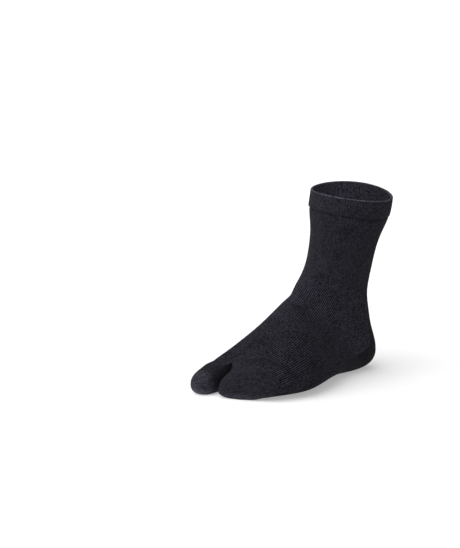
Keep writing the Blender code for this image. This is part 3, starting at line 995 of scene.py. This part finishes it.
def knit_material(name, colour, fleck):
    """Heathered yarn in stitches, from the (wale, course) coordinates of the mesh."""
    material = bpy.data.materials.new(name + "_yarn")
    material.use_nodes = True
    tree = material.node_tree
    shader = tree.nodes["Principled BSDF"]
    uv = tree.nodes.new("ShaderNodeUVMap")
    uv.uv_map = "knit"
    parts = tree.nodes.new("ShaderNodeSeparateXYZ")
    link(tree, uv.outputs[0], parts.inputs[0])
    wale, course = parts.outputs[0], parts.outputs[1]
    place = tree.nodes.new("ShaderNodeTexCoord").outputs["Object"]

    # V-shaped stitches: two legs that lean towards the middle of each wale
    across = times(tree, math_node(tree, "PINGPONG", wale, 0.5), 2.0)
    lean = math_node(tree, "FRACT", plus(tree, course, times(tree, across, STITCH_LEAN)))
    leg = math_node(tree, "SINE", times(tree, lean, np.pi))
    belly = math_node(tree, "SINE", times(tree, across, np.pi))
    stitch = times(tree, leg, plus(tree, times(tree, belly, 1 - STITCH_EDGE), STITCH_EDGE))

    # One shade of yarn for each leg of a stitch, with fine fibres and slow clouds
    cell = tree.nodes.new("ShaderNodeCombineXYZ")
    link(tree, math_node(tree, "FLOOR", times(tree, wale, 2.0)), cell.inputs[0])
    link(tree, math_node(tree, "FLOOR", course), cell.inputs[1])
    white = tree.nodes.new("ShaderNodeTexWhiteNoise")
    white.noise_dimensions = "2D"
    link(tree, cell.outputs[0], white.inputs["Vector"])
    fibres = noise_node(tree, place, *FIBRE_NOISE)
    clouds = noise_node(tree, place, *CLOUD_NOISE)
    shade = times(tree, white.outputs["Value"], STITCH_SHARE)
    shade = plus(tree, shade, times(tree, fibres, FIBRE_SHARE))
    shade = plus(tree, shade, times(tree, clouds, CLOUD_SHARE))
    ramp = tree.nodes.new("ShaderNodeValToRGB")
    dark, pale = ramp.color_ramp.elements
    dark.position = DARKEST
    dark.color = (*(c * (1 - fleck) for c in colour), 1)
    pale.color = (*(c * (1 + fleck) for c in colour), 1)
    link(tree, shade, ramp.inputs[0])

    # Painted shade and light carried by the mesh darken its valleys, folds and split, and pale the
    # rim, the toes' lower edge and the inside
    painted_light_and_tone = tree.nodes.new("ShaderNodeAttribute")
    painted_light_and_tone.attribute_name = "painted_light_and_tone"
    tint = tree.nodes.new("ShaderNodeMix")
    tint.data_type = "RGBA"
    tint.blend_type = "MULTIPLY"
    tint.inputs["Factor"].default_value = 1.0
    link(tree, ramp.outputs[0], tint.inputs[6])
    link(tree, painted_light_and_tone.outputs["Color"], tint.inputs[7])
    link(tree, tint.outputs[2], shader.inputs["Base Color"])

    rough = tree.nodes.new("ShaderNodeMapRange")
    set_inputs(rough, dict(zip(("To Min", "To Max"), KNIT_ROUGHNESS)))
    link(tree, fibres, rough.inputs["Value"])
    link(tree, rough.outputs[0], shader.inputs["Roughness"])

    bump = tree.nodes.new("ShaderNodeBump")
    set_inputs(bump, {"Strength": STITCH_BUMP, "Distance": STITCH_DEPTH})
    link(tree, plus(tree, stitch, times(tree, fibres, FIBRE_BUMP)), bump.inputs["Height"])
    link(tree, bump.outputs[0], shader.inputs["Normal"])
    set_inputs(shader, KNIT_SURFACE)
    return material


MATERIALS = {name: knit_material(name, *yarn) for name, yarn in YARNS_WITH_PAINTED_SHADING.items()}

# The floor is a white sheet that is also lit from below
FLOOR_REACH = 14.0
FLOOR_GAP = 0.0002
FLOOR_NOISE = 3.0
FLOOR_SHADES = (0.70, 0.72)
FLOOR_SURFACE = {
    "Roughness": 0.9,
    "Specular IOR Level": 0.1,
    "Emission Color": (1, 1, 1, 1),
    "Emission Strength": 0.34,
}


def add_floor():
    mesh = bpy.data.meshes.new("floor")
    level = -WALL - FLOOR_GAP
    signs = ((-1, -1), (1, -1), (1, 1), (-1, 1))
    corners = [(x * FLOOR_REACH, y * FLOOR_REACH, level) for x, y in signs]
    mesh.from_pydata(corners, [], [(0, 1, 2, 3)])
    material = bpy.data.materials.new("floor_paint")
    material.use_nodes = True
    tree = material.node_tree
    shader = tree.nodes["Principled BSDF"]
    noise = tree.nodes.new("ShaderNodeTexNoise")
    noise.inputs["Scale"].default_value = FLOOR_NOISE
    ramp = tree.nodes.new("ShaderNodeValToRGB")
    for element, shade in zip(ramp.color_ramp.elements, FLOOR_SHADES):
        element.color = (shade, shade, shade, 1)
    link(tree, noise.outputs[0], ramp.inputs[0])
    link(tree, ramp.outputs[0], shader.inputs["Base Color"])
    set_inputs(shader, FLOOR_SURFACE)
    mesh.materials.append(material)
    floor = bpy.data.objects.new("floor", mesh)
    bpy.context.scene.collection.objects.link(floor)


# A big far lamp in front of the toes: its light comes evenly from there, with soft shadows
LAMP_SIDE = (-0.05, -1.35, 1.3)
LAMP_SPREAD = 55  # degrees
LAMP_STRENGTH = 1.35


def add_lamp():
    data = bpy.data.lights.new("lamp", "SUN")
    data.angle = np.radians(LAMP_SPREAD)
    data.energy = LAMP_STRENGTH
    lamp = bpy.data.objects.new("lamp", data)
    bpy.context.scene.collection.objects.link(lamp)
    away = unit(np.array(LAMP_SIDE))
    right = unit(np.cross((0, 0, 1), away))
    turn = Matrix(np.column_stack([right, np.cross(away, right), away]).tolist())
    lamp.matrix_world = turn.to_4x4()


# The camera stands where the photograph was taken from, and sees TARGET at TARGET_PIXEL
TARGET = np.array([0.003, -0.10988, 0.0884])
CAMERA_TURN = 40.12  # degrees from the front towards the little toe's side
CAMERA_LIFT = 11.85
CAMERA_ROLL = 1.90
CAMERA_DISTANCE = 2.1096
FOCAL_PIXELS = 2035
TARGET_PIXEL = (285.43, 299.96)
IMAGE = (460, 548)
SENSOR = 36.0  # millimetres along the image's longer side


def add_camera():
    turn, lift, roll = np.radians((CAMERA_TURN, CAMERA_LIFT, CAMERA_ROLL))
    back = np.array([np.sin(turn) * np.cos(lift), -np.cos(turn) * np.cos(lift), np.sin(lift)])
    right = np.array([np.cos(turn), np.sin(turn), 0])
    up = np.cross(back, right)
    rolled_right = np.cos(roll) * right + np.sin(roll) * up
    rolled_up = -np.sin(roll) * right + np.cos(roll) * up
    axes = np.stack([rolled_right, rolled_up, back])
    aside = (TARGET_PIXEL[0] - IMAGE[0] / 2) / FOCAL_PIXELS
    above = (IMAGE[1] / 2 - TARGET_PIXEL[1]) / FOCAL_PIXELS
    aim = unit(np.array([aside, above, -1]))
    ahead = np.array([0, 0, -1.0])
    axis = np.cross(ahead, aim)
    sine = np.linalg.norm(axis)
    swing = np.array(Matrix.Rotation(np.arctan2(sine, ahead @ aim), 3, axis / sine))
    data = bpy.data.cameras.new("camera")
    data.sensor_width = SENSOR
    data.lens = FOCAL_PIXELS / max(IMAGE) * SENSOR
    data.clip_end = 100
    camera = bpy.data.objects.new("camera", data)
    bpy.context.scene.collection.objects.link(camera)
    turn_world = Matrix((axes.T @ swing.T).tolist())
    camera.matrix_world = Matrix.Translation(TARGET + back * CAMERA_DISTANCE) @ turn_world.to_4x4()
    bpy.context.scene.camera = camera


# A wide soft light all round, brightest in front of the toes
SKY_SIDE = (-0.42, -0.91, 0.0)
SKY_FROM = (-0.7, 1.0)  # how far towards SKY_SIDE the sky is darkest and brightest
SKY_STRENGTH = (0.04, 2.02)


def add_world():
    world = bpy.data.worlds.new("studio")
    world.use_nodes = True
    tree = world.node_tree
    background = tree.nodes["Background"]
    background.inputs[0].default_value = (1, 1, 1, 1)
    place = tree.nodes.new("ShaderNodeTexCoord")
    towards = tree.nodes.new("ShaderNodeVectorMath")
    towards.operation = "DOT_PRODUCT"
    towards.inputs[1].default_value = SKY_SIDE
    link(tree, place.outputs["Generated"], towards.inputs[0])
    strength = tree.nodes.new("ShaderNodeMapRange")
    limits = ("From Min", "From Max", "To Min", "To Max")
    set_inputs(strength, dict(zip(limits, SKY_FROM + SKY_STRENGTH)))
    link(tree, towards.outputs["Value"], strength.inputs["Value"])
    link(tree, strength.outputs[0], background.inputs[1])
    bpy.context.scene.world = world
    bpy.context.scene.view_settings.view_transform = "Standard"


add_camera()
add_world()
add_floor()
add_lamp()
add_cuff()
add_leg()
foot_stations = stations_between(LEG_END, FOOT_END)
add_sheet("instep", foot_stations, upper_columns, False)
heel_rows = int(np.searchsorted(foot_stations, HEEL_END))
add_sheet("heel_pocket", foot_stations[: heel_rows + 1], under_columns, True)
add_sheet("sole", foot_stations[heel_rows:], under_columns, True)
last_row = TOE_STRAIGHT_ROWS + TOE_NOSE_ROWS - 1
add_toe(
    BIG_TOE_ROWS,
    BIG_TOE_TIP,
    -1,
    [("big_toe_pocket", 0, CAP_ROW, False), ("big_toe_cap", CAP_ROW, last_row, True)],
)
add_toe(FOUR_TOE_ROWS, FOUR_TOE_TIP, 1, [("four_toe_pocket", 0, last_row, False)])
